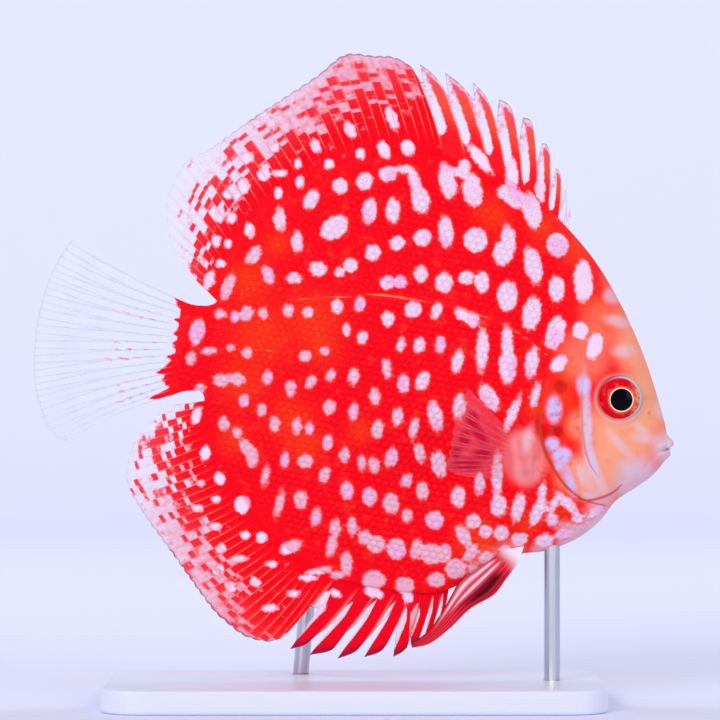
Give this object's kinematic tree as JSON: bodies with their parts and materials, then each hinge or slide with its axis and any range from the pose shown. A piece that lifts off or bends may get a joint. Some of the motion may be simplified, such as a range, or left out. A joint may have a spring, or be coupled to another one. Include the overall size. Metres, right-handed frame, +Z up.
{
  "type": "discus fish",
  "caption": "Disc-shaped discus fish with spread fins, life size, as a still display model held nose-down on a flat base by two slim rods.",
  "frame": {"origin": "middle of the model's bounding box in X and Y, at the underside of the stand's base", "axes": "+X the way the fish faces, +Y its left side, +Z up"},
  "size_m": [0.1601, 0.066, 0.1626],
  "materials": {
    "red_skin": "satin scales, bright red with pale spots",
    "head_skin": "satin skin, peach orange",
    "lip_skin": "soft pale pink",
    "eye": "glossy, red iris and blue-black pupil",
    "red_fin": "thin fin, red with pale see-through margins",
    "clear_fin": "thin, nearly clear fin",
    "stand_base": "satin pale grey",
    "stand_rod": "brushed"
  },
  "bodies": {
    "root": {"head": "head_skin", "gill_cover_left": "head_skin", "gill_cover_right": "head_skin", "lip_upper": "lip_skin", "lip_lower": "lip_skin", "eye_left": "eye", "eye_right": "eye", "trunk": "red_skin", "tail_stalk": "red_skin", "dorsal_fin_spiny": "red_fin", "dorsal_fin_soft": "red_fin", "anal_fin_spiny": "red_fin", "anal_fin_soft": "red_fin", "caudal_fin": "clear_fin", "pectoral_fin_left": "clear_fin", "pectoral_fin_right": "clear_fin", "pelvic_fin_left": "red_fin", "pelvic_fin_right": "red_fin", "stand_base": "stand_base", "stand_rod_front": "stand_rod", "stand_rod_rear": "stand_rod"}
  },
  "joints": []
}
